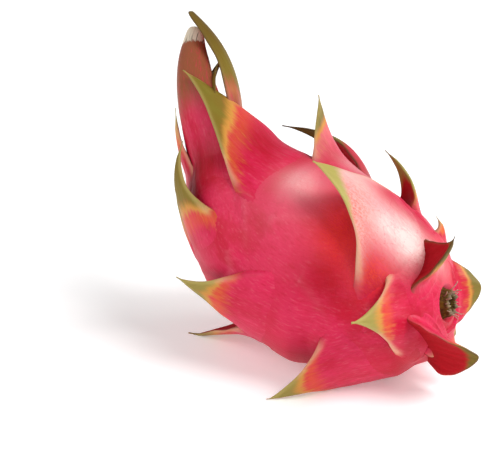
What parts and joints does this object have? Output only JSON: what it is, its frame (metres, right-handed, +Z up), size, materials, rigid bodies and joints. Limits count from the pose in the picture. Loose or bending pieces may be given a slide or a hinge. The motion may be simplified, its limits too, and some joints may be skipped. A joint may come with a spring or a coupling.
{
  "type": "dragon fruit",
  "caption": "Whole dragon fruit lying on its side: a bent, egg-shaped body covered with leafy, pointed scales.",
  "frame": {"origin": "middle of the small flat spot under the belly that the fruit rests on", "axes": "+Z up; the fruit lies in the pose of the picture, stem end to +X and a little to the front, flower end to -X, +Y and up; -Y is the side that the picture shows"},
  "size_m": [0.1462, 0.1542, 0.1531],
  "materials": {
    "skin": "waxy rind, pink to crimson, with scales that run through orange to olive green at their tips"
  },
  "bodies": {
    "root": {"fruit": "skin"}
  },
  "joints": []
}
